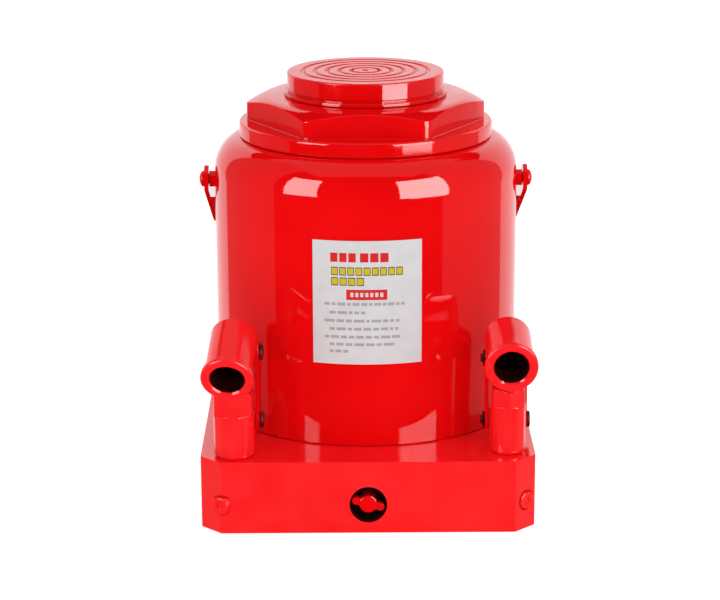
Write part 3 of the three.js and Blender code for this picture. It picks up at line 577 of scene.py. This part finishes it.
def makeLabel(s):
    low, high = mmBox("label")
    radius = mmBox("tank")[1].x + fit + 0.05
    halfAngle = math.asin(high.x / -low.y) if -low.y > high.x else 0.35
    half = (radius + 0.35) * halfAngle
    blocks = labelBlocks(s)
    acrossCuts = sorted({round(v, 3) for b in blocks for v in b[:2]}
                        | {half * i / 12 - half / 2 for i in range(13)}
                        | {-half * i / 12 - half / 2 for i in range(7)}
                        | {half / 2 + half * i / 12 for i in range(7)})
    upCuts = sorted({round(v, 3) for b in blocks for v in b[2:4]})
    bm = bmesh.new()
    bmesh.ops.create_grid(bm, x_segments=1, y_segments=1, size=1)
    bmesh.ops.transform(bm, verts=bm.verts, matrix=Matrix.Translation((0, (low.z + high.z) / 2, 0))
                        @ Matrix.Diagonal((half, (high.z - low.z) / 2, 1, 1)))
    cuts = [((x, 0, 0), (1, 0, 0)) for x in acrossCuts] + [((0, y, 0), (0, 1, 0)) for y in upCuts]
    for cut, normal in cuts:
        bmesh.ops.bisect_plane(bm, geom=bm.verts[:] + bm.edges[:] + bm.faces[:], plane_co=cut,
                               plane_no=normal, dist=0.0001)
    for face in bm.faces:
        middle = face.calc_center_median()
        for left, right, bottom, top, inkIndex in blocks:
            if left < middle.x < right and bottom < middle.y < top:
                face.material_index = inkIndex
    for vert in bm.verts:
        turn = vert.co.x / radius
        vert.co = Vector((radius * math.sin(turn), -radius * math.cos(turn), vert.co.y))
    piece = addPiece(bm, "printed_label", "jack_frame", labelPaper, ["label"], angle=60)
    for material in (redInk, oliveInk, darkInk, greyInk):
        piece.data.materials.append(material)
    thick = piece.modifiers.new("paper", "SOLIDIFY")
    thick.thickness = s["thick"] * mm
    thick.offset = 1.0
    piece.modifiers.move(len(piece.modifiers) - 1, 0)


makeLabel(labelSettings)
print("saddle, nut, tank and label made")


# Base

baseSettings = {
    "chamfer": 16.0, "height": 58.0, "edge": 1.6, "recess": 14.5, "recessDepth": 16.0,
    "oilHeight": 23.0, "seat": 20.0, "lug": 9.0, "lugHalf": 13.0, "spotface": 8.2,
    "spotfaceCut": 30,  # mm outwards, past the casting
}


# The pump's own frame: on the base's top, turned as its joints are
def pumpPlace(side):
    low, high = mmBox("plunger_" + side)
    joint = next(j for j in frame["joints"] if j["name"] == "link_swing_" + side)
    turn = math.atan2(joint["axis"][1], joint["axis"][0])
    x, y = (low.x + high.x) / 2, (low.y + high.y) / 2
    return Matrix.Translation((x, y, baseSettings["height"])) @ Matrix.Rotation(turn, 4, "Z")


def jointPoint(name):
    return Vector(next(j for j in frame["joints"] if j["name"] == name)["pos_m"]) / mm


def makeBase(s):
    low, high = mmBox("base")
    c, w = s["chamfer"], high.x
    outline = [(-w + c, low.y), (w - c, low.y), (w, low.y + c), (w, high.y - c),
               (w - c, high.y), (-w + c, high.y), (-w, high.y - c), (-w, low.y + c)]
    body = prism(outline, 0, s["height"])
    for side in ("left", "right"):
        place = pumpPlace(side)
        pivot = place.inverted() @ jointPoint("link_swing_" + side)
        r = s["lug"]
        outlineLug = [(pivot.y - r, -3), (pivot.y + r, -3), *arc(pivot.y, pivot.z, r, 0, 180, 16)]
        lug = prism(outlineLug, 0, 2 * s["lugHalf"], place @ crossways(-s["lugHalf"]))
        body = carve(body, lug, "UNION")
    cylinderRadius = mmBox("cylinder")[1].x + fit
    seat = rod(cylinderRadius, s["height"] - s["seat"], s["height"] + 2, steps=96)
    body = carve(body, seat)
    valve = Matrix.Translation((0, low.y, s["oilHeight"]))
    body = carve(body, rod(s["recess"], -2, s["recessDepth"], valve @ alongY, 64))
    for side in ("left", "right"):
        axis, face = plugAxis(side)
        spot = axis @ Matrix.Translation((0, 0, face))
        body = carve(body, rod(s["spotface"], 0, s["spotfaceCut"], spot, 48))
    # Painted shade on the walls inside the release valve's recess
    paintHoleShade(body, s["recess"] + 0.1, low.y + 0.5, low.y + s["recessDepth"] + 1,
           Vector((0, 0, s["oilHeight"])))
    addPiece(body, "base_casting", "jack_frame", castEnamel, ["base"], edge=s["edge"],
             segments=4, second=paintedBoreShade)


# left and right are how far each plug is turned out, in degrees
plugSettings = {
    "head": 7.0, "proud": 5.2, "shank": 4.5, "socket": 2.8, "left": 29.0, "right": -40.0,
}


# A frame with Z out along the corner plug's axis, and the spotface's height on it
def plugAxis(side):
    angle = math.radians(plugSettings[side])
    out = Vector((-math.sin(angle), -math.cos(angle), 0))
    low, high = mmBox("corner_plug_" + side)
    place = pumpPlace(side).translation
    start = Vector((place.x, place.y, (low.z + high.z) / 2))
    reach = max((Vector((x, y, start.z)) - start).dot(out)
                for x in (low.x, high.x) for y in (low.y, high.y))
    turn = out.to_track_quat("Z", "Y").to_matrix().to_4x4()
    corners = 2 * plugSettings["head"] * abs(math.sin(angle) * math.cos(angle))
    return Matrix.Translation(start) @ turn, reach - corners - plugSettings["proud"] + fit


makeBase(baseSettings)


def makePlug(side, s):
    axis, face = plugAxis(side)
    r, top = s["head"], face + s["proud"]
    shank, socket = s["shank"], s["socket"]
    profile = [(0, face - 12), (shank, face - 12), (shank, face + 0.2), (r - 0.4, face + 0.2),
               (r, face + 0.6), *arc(r - 1.2, top - 1.2, 1.2, 0, 90, 5), (socket + 0.5, top),
               (socket, top - 0.5), (socket, top - 1.4), (0, top - 1.6)]
    addPiece(turned(profile, 48, axis), "drilling_plug_" + side, "jack_frame", castEnamel,
             ["corner_plug_" + side])


for side in ("left", "right"):
    makePlug(side, plugSettings)
print("base made")


# Release valve

valveSettings = {
    "head": 7.0, "stem": 6.0, "bar": 26.0, "barThick": 6.0, "barDeep": 5.0, "barAt": 2.0,
    "angle": -15.0,  # degrees, of the bar at rest
}


def makeValve(s):
    high = mmBox("release_valve")[1]
    centre = jointPoint("release_valve_turn")
    place = Matrix.Translation(centre) @ Matrix.Rotation(math.radians(-s["angle"]), 4, "Y") @ alongY
    length = high.y - centre.y
    floor = baseSettings["recessDepth"] - fit
    profile = [(0, 1.0), (s["head"] - 2.4, 1.0), *arc(s["head"] - 1.2, 2.2, 1.2, -90, 0, 5),
               (s["head"], floor), (s["stem"], floor), (s["stem"], length - 8), (0, length)]
    body = turned(profile, 64)
    half, thick = s["bar"] / 2, s["barThick"] / 2
    outline = capsule((-half + thick, 0), (half - thick, 0), thick, 8)
    bar = prism(outline, s["barAt"], s["barAt"] + s["barDeep"])
    body = joined(body, bar)
    addPiece(body, "release_spindle", "release_valve", redEnamel, ["release_valve"], place,
             edge=0.5)


makeValve(valveSettings)


# Carrying bail

bailSettings = {
    "thick": 3.6, "width": 22.0, "length": 141.0, "corner": 14.0, "hole": 4.3, "edge": 0.7,
    "boltHead": 6.5, "boltShank": 4.0, "boss": 6.5,
    "past": 160,  # mm each way, past the bail's sides
}


def makeBail(s):
    pivot = jointPoint("bail_swing")
    outer = mmBox("carrying_bail")[1].x
    bossLow, bossHigh = mmBox("bail_boss_right")
    t, w = s["thick"], s["width"]
    reach = s["length"] - t / 2
    diagonal = math.hypot(reach, w / 2)
    tankSide = mmBox("tank")[1].x + 2 * fit
    lean = math.acos(tankSide / diagonal) - math.atan2(w / 2, reach)  # rests on the tank
    far = s["length"] + t / 2
    bm = bmesh.new()
    section = [bm.verts.new((x, -w / 2, z)) for x, z in
               ((outer - t, -w / 2), (outer, -w / 2), (outer, w / 2), (outer - t, w / 2))]
    face = bm.faces.new(section)

    def lengthen(current, step):
        grown = bmesh.ops.extrude_face_region(bm, geom=[current])
        verts = [item for item in grown["geom"] if isinstance(item, bmesh.types.BMVert)]
        bmesh.ops.translate(bm, vec=step, verts=verts)
        return next(item for item in grown["geom"] if isinstance(item, bmesh.types.BMFace))

    def turnCorner(current, centre):
        made = bmesh.ops.spin(bm, geom=[current], cent=centre, axis=(0, 0, 1), dvec=(0, 0, 0),
                              angle=math.radians(90), steps=10, use_duplicate=False)
        return next(item for item in made["geom_last"] if isinstance(item, bmesh.types.BMFace))

    c = s["corner"]
    face = lengthen(face, (0, far - c + w / 2, 0))
    face = turnCorner(face, (outer - c, far - c, 0))
    face = lengthen(face, (-2 * (outer - c), 0, 0))
    face = turnCorner(face, (-outer + c, far - c, 0))
    lengthen(face, (0, -(far - c + w / 2), 0))
    inside = [f for f in bm.faces if f.is_valid and all(len(e.link_faces) > 2 for e in f.edges)]
    bmesh.ops.delete(bm, geom=inside, context="FACES_ONLY")
    cleaned(bm)
    past = s["past"]
    sideView = capsule((0, 0), (s["length"] + w, 0), w / 2, 20)
    bm = carve(bm, prism(sideView, 0, 2 * past, crossways(-past)), "INTERSECT")
    bm = carve(bm, rod(s["hole"], -past, past, alongX, 32))
    place = Matrix.Translation(pivot) @ Matrix.Rotation(-lean, 4, "X")
    addPiece(bm, "bail_strap", "bail", redEnamel, ["carrying_bail"], place, edge=s["edge"])
    for side, turn in (("right", 0), ("left", math.pi)):
        spot = Matrix.Translation(pivot) @ Matrix.Rotation(turn, 4, "Z") @ alongX
        boss = [(0, bossLow.x), (s["boss"] - 0.5, bossLow.x), (s["boss"], bossLow.x + 0.5),
                *arc(s["boss"] - 0.7, bossHigh.x - 0.7, 0.7, 0, 90, 4),
                (s["hole"] - 0.1, bossHigh.x),
                (s["hole"] - 0.1, bossLow.x + 3), (0, bossLow.x + 3)]
        addPiece(turned(boss, 48, spot), "boss_" + side, "jack_frame", redEnamel,
                 ["bail_boss_" + side])
        boltHigh = mmBox("bail_bolt_right")[1].x
        head = outer + fit
        dome = [(s["boltHead"] * math.cos(a), head + 0.9 + (boltHigh - head - 0.9) * math.sin(a))
                for a in (math.radians(9 * i) for i in range(10))]
        shank, r = s["boltShank"], s["boltHead"]
        bolt = [(0, bossLow.x + 4), (shank - 0.5, bossLow.x + 4), (shank, bossLow.x + 4.5),
                (shank, head), (r - 0.3, head), (r, head + 0.3), *dome, (0, boltHigh)]
        addPiece(turned(bolt, 48, spot), "dome_bolt_" + side, "jack_frame", redEnamel,
                 ["bail_bolt_" + side])


makeBail(bailSettings)
print("bail and valve made")


# Pumps

pumpSettings = {
    # tilt of the socket and lean of the links in degrees
    "left": {"body": 16.0, "spigot": 13.0, "hexBottom": 35.0, "plunger": 9.0, "eye": 8.0,
             "tubeOffset": 23.9, "tilt": 26.0, "linkLength": 55.6, "linkLean": -1.3},
    "right": {"body": 13.4, "spigot": 10.5, "hexBottom": 39.0, "plunger": 6.0, "eye": 6.5,
              "tubeOffset": 21.5, "tilt": 11.6, "linkLength": 50.0, "linkLean": -2.6},
}
socketSettings = {
    "tube": 18.0, "bore": 13.5, "ring": 20.5, "ringLength": 6.0, "front": 28.8, "rear": 21.0,
    "dome": 5.0, "boreDepth": 43.0, "cheekInner": 7.2, "cheekOuter": 13.0, "along": 33.0,
    "below": 3.0, "link": 8.0, "plate": 3, "pin": 3.5, "slack": 1.9, "flats": 14.5,
    "pinCut": 20, "linkCut": 25,  # mm each way, past the pieces the pins go through
}
hexSettings = {"corner": 1.085, "trim": 1.04, "trimTop": 0.93}  # of the pump body's radius


def makePumpBody(side, p):
    low, high = mmBox("pump_body_" + side)
    place = pumpPlace(side)
    top = high.z - baseSettings["height"]
    bottom = low.z - baseSettings["height"]
    r = p["body"]
    foot = turned([(0, bottom), (p["spigot"], bottom), (p["spigot"], fit), (r - 1.6, fit),
                   (r, fit + 2.0),
                   *arc(r - 0.6, p["hexBottom"] - 0.6, 0.6, 0, 90, 4), (0, p["hexBottom"])], 96)
    corner, trimmed = r * hexSettings["corner"], r * hexSettings["trim"]
    outline = [(corner * math.sin(turn), corner * math.cos(turn))
               for turn in (math.radians(60 * i) for i in range(6))]
    hexagon = prism(outline, p["hexBottom"] - 2, top)
    trim = turned([(0, p["hexBottom"] - 2), (trimmed, p["hexBottom"] - 2), (trimmed, top - 1.6),
                   (r * hexSettings["trimTop"], top), (0, top)], 96)
    hexagon = carve(hexagon, trim, "INTERSECT")
    body = joined(foot, hexagon)
    bored, mouth = p["plunger"] + fit, p["plunger"] + 1.4
    bore = turned([(0, bottom - 1), (bored, bottom - 1), (bored, top - 0.8),
                   (mouth, top + 0.3), (mouth, top + 2), (0, top + 2)], 64)
    body = carve(body, bore)
    addPiece(body, "pump_barrel_" + side, "jack_frame", castEnamel, ["pump_body_" + side],
             place, edge=0.5)


def makePlunger(side, p):
    low = mmBox("plunger_" + side)[0]
    place = pumpPlace(side)
    pin = place.inverted() @ jointPoint("socket_swing_" + side)
    bottom = low.z - baseSettings["height"]
    neck = pin.z - p["eye"] - 1
    r, pinCut = p["plunger"], socketSettings["pinCut"]
    shaft = turned([(0, bottom), (r - 1, bottom), (r, bottom + 1), (r, neck - 0.8),
                    (r - 0.8, neck), (0, neck)], 64)
    inner = socketSettings["cheekInner"] - fit
    eyeBottom = neck - 0.6
    outline = [(-p["eye"], eyeBottom), (p["eye"], eyeBottom), *arc(0, pin.z, p["eye"], 0, 180, 20)]
    eye = prism(outline, 0, 2 * inner, crossways(-inner))
    hole = rod(socketSettings["pin"] + fit, -pinCut, pinCut, Matrix.Translation(pin) @ alongX, 32)
    body = carve(joined(shaft, eye), hole)
    if r > inner:  # flats that clear the socket's cheeks
        reach, flatBottom = r + 2, pin.z - socketSettings["flats"]
        flank = [(-reach, flatBottom), (reach, flatBottom), (reach, pin.z), (-reach, pin.z)]
        for start in (-reach, inner):
            body = carve(body, prism(flank, 0, reach - inner, crossways(start)))
    addPiece(body, "pump_plunger_" + side, "plunger_" + side, groundSteel, ["plunger_" + side],
             place, edge=0.4)


def makeSocket(side, p, s):
    place = pumpPlace(side)
    pin = place.inverted() @ jointPoint("socket_swing_" + side)
    lever = place @ Matrix.Translation(pin) @ Matrix.Rotation(math.radians(p["tilt"]), 4, "X")
    front, ringEnd, r, ring = -s["front"], -s["front"] + s["ringLength"], s["tube"], s["ring"]
    profile = [(0, front), (ring - 1.8, front), *arc(ring - 1.8, front + 1.8, 1.8, -90, 0, 6),
               *arc(ring - 1.8, ringEnd - 1.8, 1.8, 0, 70, 5), (r + 0.3, ringEnd + 0.1),
               (r, ringEnd + 0.8), (r, -10), (r, 5)]
    profile += [(r * math.cos(a), s["rear"] + s["dome"] * math.sin(a))
                for a in (math.radians(7.5 * i) for i in range(12))] + [(0, s["rear"] + s["dome"])]
    along = Matrix.Translation((0, 0, p["tubeOffset"])) @ alongY
    body = turned(profile, 96, along)
    cheek = p["eye"] + 0.8
    high = p["tubeOffset"] - s["bore"] + 4
    outline = [*arc(0, 0, cheek, 180, 264, 12),
               *arc(s["along"], -s["below"], s["link"], 264, 423, 18),
               (s["rear"], high), (-cheek, high)]
    for start in (-s["cheekOuter"], s["cheekInner"]):
        slab = prism(outline, 0, s["cheekOuter"] - s["cheekInner"], crossways(start))
        body = carve(body, slab, "UNION")
    hollow, boreEnd, pinCut = s["bore"], front + s["boreDepth"], s["pinCut"]
    bore = turned([(0, front - 1), (hollow + 1.2, front - 1), (hollow + 1.2, front),
                   (hollow, front + 1.4), (hollow, boreEnd - 2), (hollow - 2, boreEnd),
                   (0, boreEnd)], 96, along)
    linkPin = Matrix.Translation((0, s["along"], -s["below"])) @ alongX
    cuts = [bore, rod(p["eye"] + 0.5, -s["cheekInner"], s["cheekInner"], alongX, 40),
            rod(s["pin"] + fit, -pinCut, pinCut, alongX, 32),
            rod(s["pin"] + fit, -pinCut, pinCut, linkPin, 32)]
    for cut in cuts:
        body = carve(body, cut)
    # Painted shade on the walls inside the socket's bore
    paintHoleShade(body, hollow + 0.2, front + 1.6, boreEnd + 1, Vector((0, 0, p["tubeOffset"])))
    addPiece(body, "lever_socket_" + side, "socket_" + side, castEnamel, ["handle_socket_" + side],
             lever, edge=0.7, second=paintedBoreShade)


# A headed pin along X with its spring clip
def pinPieces(name, clipName, body, nodes, place, halfGrip, s):
    r, headStart, headThick, clipThick = s["pin"], halfGrip + fit, 2.4, 1.2
    groove, end = -halfGrip - fit, -halfGrip - clipThick - 3 * fit - 1.4
    slim = r - 0.9
    profile = [(0, end), (r - 0.5, end), (r, end + 0.5), (r, groove - clipThick - fit),
               (slim, groove - clipThick - fit), (slim, groove + fit), (r, groove + fit),
               (r, headStart),
               (6.2, headStart), (6.5, headStart + 0.3),
               *arc(5.6, headStart + headThick - 0.9, 0.9, 0, 90, 4), (1.6, headStart + headThick),
               (1.0, headStart + headThick - 0.4), (0, headStart + headThick - 0.5)]
    addPiece(turned(profile, 40), name, body, pinSteel, [nodes[0]], place @ alongX)
    clip = turned([(slim + fit, groove - clipThick), (6.4, groove - clipThick), (6.4, groove),
                   (slim + fit, groove)], 40)
    notch = prism([(-1.9, 0), (1.9, 0), (2.6, 9), (-2.6, 9)], groove - 3, groove + 2)
    addPiece(carve(clip, notch), clipName, body, darkSteel, [nodes[1]], place @ alongX, edge=0.2,
             segments=2)


def makeLinks(side, p, s):
    place = pumpPlace(side)
    pin = place.inverted() @ jointPoint("socket_swing_" + side)
    pivot = place.inverted() @ jointPoint("link_swing_" + side)
    lever = place @ Matrix.Translation(pin) @ Matrix.Rotation(math.radians(p["tilt"]), 4, "X")
    upper = lever @ Matrix.Translation((0, s["along"], -s["below"]))
    lower = place @ Matrix.Translation(pivot)
    linkStart = s["cheekOuter"] + 1.5 * fit
    grip = linkStart + s["plate"]
    socketBody = "socket_" + side
    pinPieces("plunger_pivot_" + side, "plunger_circlip_" + side, socketBody,
              ["plunger_pin_" + side, "plunger_clip_" + side], lever, s["cheekOuter"], s)
    pinPieces("link_pivot_" + side, "link_circlip_" + side, socketBody,
              ["link_pin_" + side, "link_clip_" + side], upper, grip, s)
    pinPieces("base_pivot_" + side, "base_circlip_" + side, "jack_frame",
              ["base_pin_" + side, "base_clip_" + side], lower, grip, s)
    lean = math.radians(p["linkLean"])
    linkCut = s["linkCut"]
    tip = (-p["linkLength"] * math.sin(lean), p["linkLength"] * math.cos(lean))
    upperHole = Matrix.Translation((0, *tip)) @ alongX
    for name, start in (("inner", -grip), ("outer", linkStart)):
        plate = prism(capsule((0, 0), tip, s["link"], 18), 0, s["plate"], crossways(start))
        plate = carve(plate, rod(s["pin"] + fit, -linkCut, linkCut, alongX, 32))
        plate = carve(plate, rod(s["pin"] + s["slack"], -linkCut, linkCut, upperHole, 32))
        addPiece(plate, f"link_plate_{name}_{side}", "link_" + side, redEnamel,
                 [f"link_{name}_{side}"], lower, edge=0.5)


for side, settings in pumpSettings.items():
    makePumpBody(side, settings)
    makePlunger(side, settings)
    makeSocket(side, settings, socketSettings)
    makeLinks(side, settings, socketSettings)
print("pumps made")


# Filler plug

def makeFiller():
    low, high = mmBox("filler_plug")
    centre = (low + high) / 2
    wall = mmBox("tank")[1].y
    place = Matrix.Translation((centre.x, 0, centre.z)) @ alongY
    profile = [(0, low.y), (6.0, low.y), (6.7, low.y + 1), (6.2, wall - 4), (6.7, wall + fit),
               (9.4, wall + fit), *arc(8.4, high.y - 1.6, 1.6, 0, 90, 6), (4.2, high.y),
               (3.6, high.y - 0.6),
               (0, high.y - 0.9)]
    addPiece(turned(profile, 56, place), "rubber_filler", "jack_frame", blackRubber,
             ["filler_plug"])


makeFiller()


# Studio

lightSettings = [
    # name, where, aim, width, height, watts: soft lights for the colours, unseen in the gloss
    ("frontLeft", (-1.3, -2.0, 0.9), (0, 0, 0.15), 1.1, 1.1, 6.2),
    ("frontRight", (1.3, -2.0, 0.9), (0, 0, 0.15), 1.1, 1.1, 7),
    ("top", (0, -0.2, 2.6), (0, 0, 0), 3.0, 3.0, 18.7),
]
cardSettings = [
    # name, from and to azimuth in degrees, from and to height, distance, strength
    ("backdrop", 122, 230, -1.6, 2.4, 3.0, 1.1),
    ("sideRight", 58, 122, -1.6, 5.0, 3.0, 0.28),
    ("sideLeft", -130, -72, -1.6, 5.0, 3.0, 0.22),
    ("boxLeft", -62, -36, 0.03, 1.65, 2.0, 8),
    ("boxRight", 24, 62, -0.06, 1.65, 1.95, 10),
    ("boxRightFoot", 32, 60, -0.12, -0.06, 1.95, 6),
]


ceilingSettings = {"height": 5.0, "reach": 3.2, "strength": 0.35}
floorSettings = {"size": 12, "drop": 0.0005, "tone": 0.8, "roughness": 0.9, "glow": 0.62}
airStrength = 0.66  # of the world's even white light


# A panel that is seen only in the jack's gloss
def addGlow(name, bm, strength):
    mesh = bpy.data.meshes.new(name)
    bm.to_mesh(mesh)
    bm.free()
    material = bpy.data.materials.new(name)
    material.use_nodes = True
    tree = material.node_tree
    tree.nodes.clear()
    glow = node(tree, "ShaderNodeEmission", Strength=strength)
    output = node(tree, "ShaderNodeOutputMaterial")
    tree.links.new(glow.outputs["Emission"], output.inputs["Surface"])
    material.cycles.emission_sampling = "NONE"
    mesh.materials.append(material)
    card = bpy.data.objects.new(name, mesh)
    bpy.context.scene.collection.objects.link(card)
    card.visible_camera = card.visible_diffuse = False
    card.visible_shadow = card.visible_transmission = False


# A curved panel round the jack
def addCard(name, start, end, low, high, distance, strength):
    bm = bmesh.new()
    turn = math.radians(start)
    side = [bm.verts.new((distance * math.sin(turn), -distance * math.cos(turn), z))
            for z in (low, high)]
    bmesh.ops.spin(bm, geom=side + [bm.edges.new(side)], cent=(0, 0, 0), axis=(0, 0, 1),
                   dvec=(0, 0, 0), angle=math.radians(end - start), steps=24,
                   use_duplicate=False)
    addGlow(name, bm, strength)


def addCeiling(height, reach, strength):
    bm = bmesh.new()
    bmesh.ops.create_grid(bm, x_segments=1, y_segments=1, size=reach)
    bmesh.ops.translate(bm, vec=(0, 0, height), verts=bm.verts)
    addGlow("ceiling", bm, strength)


def addStudio(lights):
    scene = bpy.context.scene
    scene.view_settings.view_transform = "Standard"
    world = bpy.data.worlds.new("studioAir")
    world.use_nodes = True
    world.node_tree.nodes["Background"].inputs["Color"].default_value = (1, 1, 1, 1)
    world.node_tree.nodes["Background"].inputs["Strength"].default_value = airStrength
    world.cycles_visibility.glossy = False
    scene.world = world
    for card in cardSettings:
        addCard(*card)
    addCeiling(**ceilingSettings)
    for name, where, aim, width, height, watts in lights:
        data = bpy.data.lights.new(name, "AREA")
        data.shape = "RECTANGLE"
        data.size, data.size_y = width, height
        data.energy = watts
        light = bpy.data.objects.new(name, data)
        scene.collection.objects.link(light)
        light.location = where
        light.rotation_euler = (Vector(aim) - Vector(where)).to_track_quat("-Z", "Y").to_euler()
        light.visible_camera = light.visible_glossy = False


# The pale floor, which glows a little so that it stays white
def addFloor(f):
    bm = bmesh.new()
    bmesh.ops.create_grid(bm, x_segments=1, y_segments=1, size=f["size"])
    mesh = bpy.data.meshes.new("floor")
    bm.to_mesh(mesh)
    bm.free()
    floor = bpy.data.objects.new("floor", mesh)
    bpy.context.scene.collection.objects.link(floor)
    floor.location.z = -f["drop"]
    material, tree, shader = newMaterial("paleFloor")
    shader.inputs["Base Color"].default_value = (f["tone"], f["tone"], f["tone"], 1)
    shader.inputs["Roughness"].default_value = f["roughness"]
    shader.inputs["Emission Color"].default_value = (1, 1, 1, 1)
    shader.inputs["Emission Strength"].default_value = f["glow"]
    mesh.materials.append(material)
    floor.visible_glossy = False


addStudio(lightSettings)
addFloor(floorSettings)
print("studio made")
